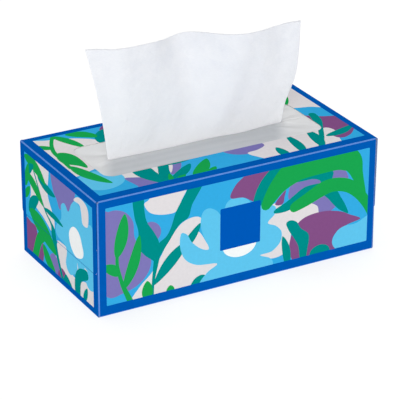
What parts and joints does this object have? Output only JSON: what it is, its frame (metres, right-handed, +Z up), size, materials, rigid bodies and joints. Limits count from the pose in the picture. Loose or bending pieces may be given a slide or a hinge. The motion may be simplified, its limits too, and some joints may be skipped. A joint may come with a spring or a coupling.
{
  "type": "tissue box",
  "caption": "Flat folded board box of pop-up facial tissues with a slit film window and one sheet standing up through it.",
  "frame": {"origin": "middle of the carton's base, on the surface it stands on", "axes": "+X along the carton's length, +Y from its front panel to its back panel, +Z up"},
  "size_m": [0.234, 0.124, 0.173],
  "materials": {
    "printed_board": "satin",
    "clear_film": "gloss",
    "adhesive": "matte",
    "tissue": "matte"
  },
  "bodies": {
    "root": {"carton": "printed_board", "slit_film": "clear_film", "film_glue": "adhesive", "seam_glue": "adhesive", "left_end_glue": "adhesive", "right_end_glue": "adhesive", "tissue_stack": "tissue", "next_sheet": "tissue", "raised_sheet": "tissue"}
  },
  "joints": []
}
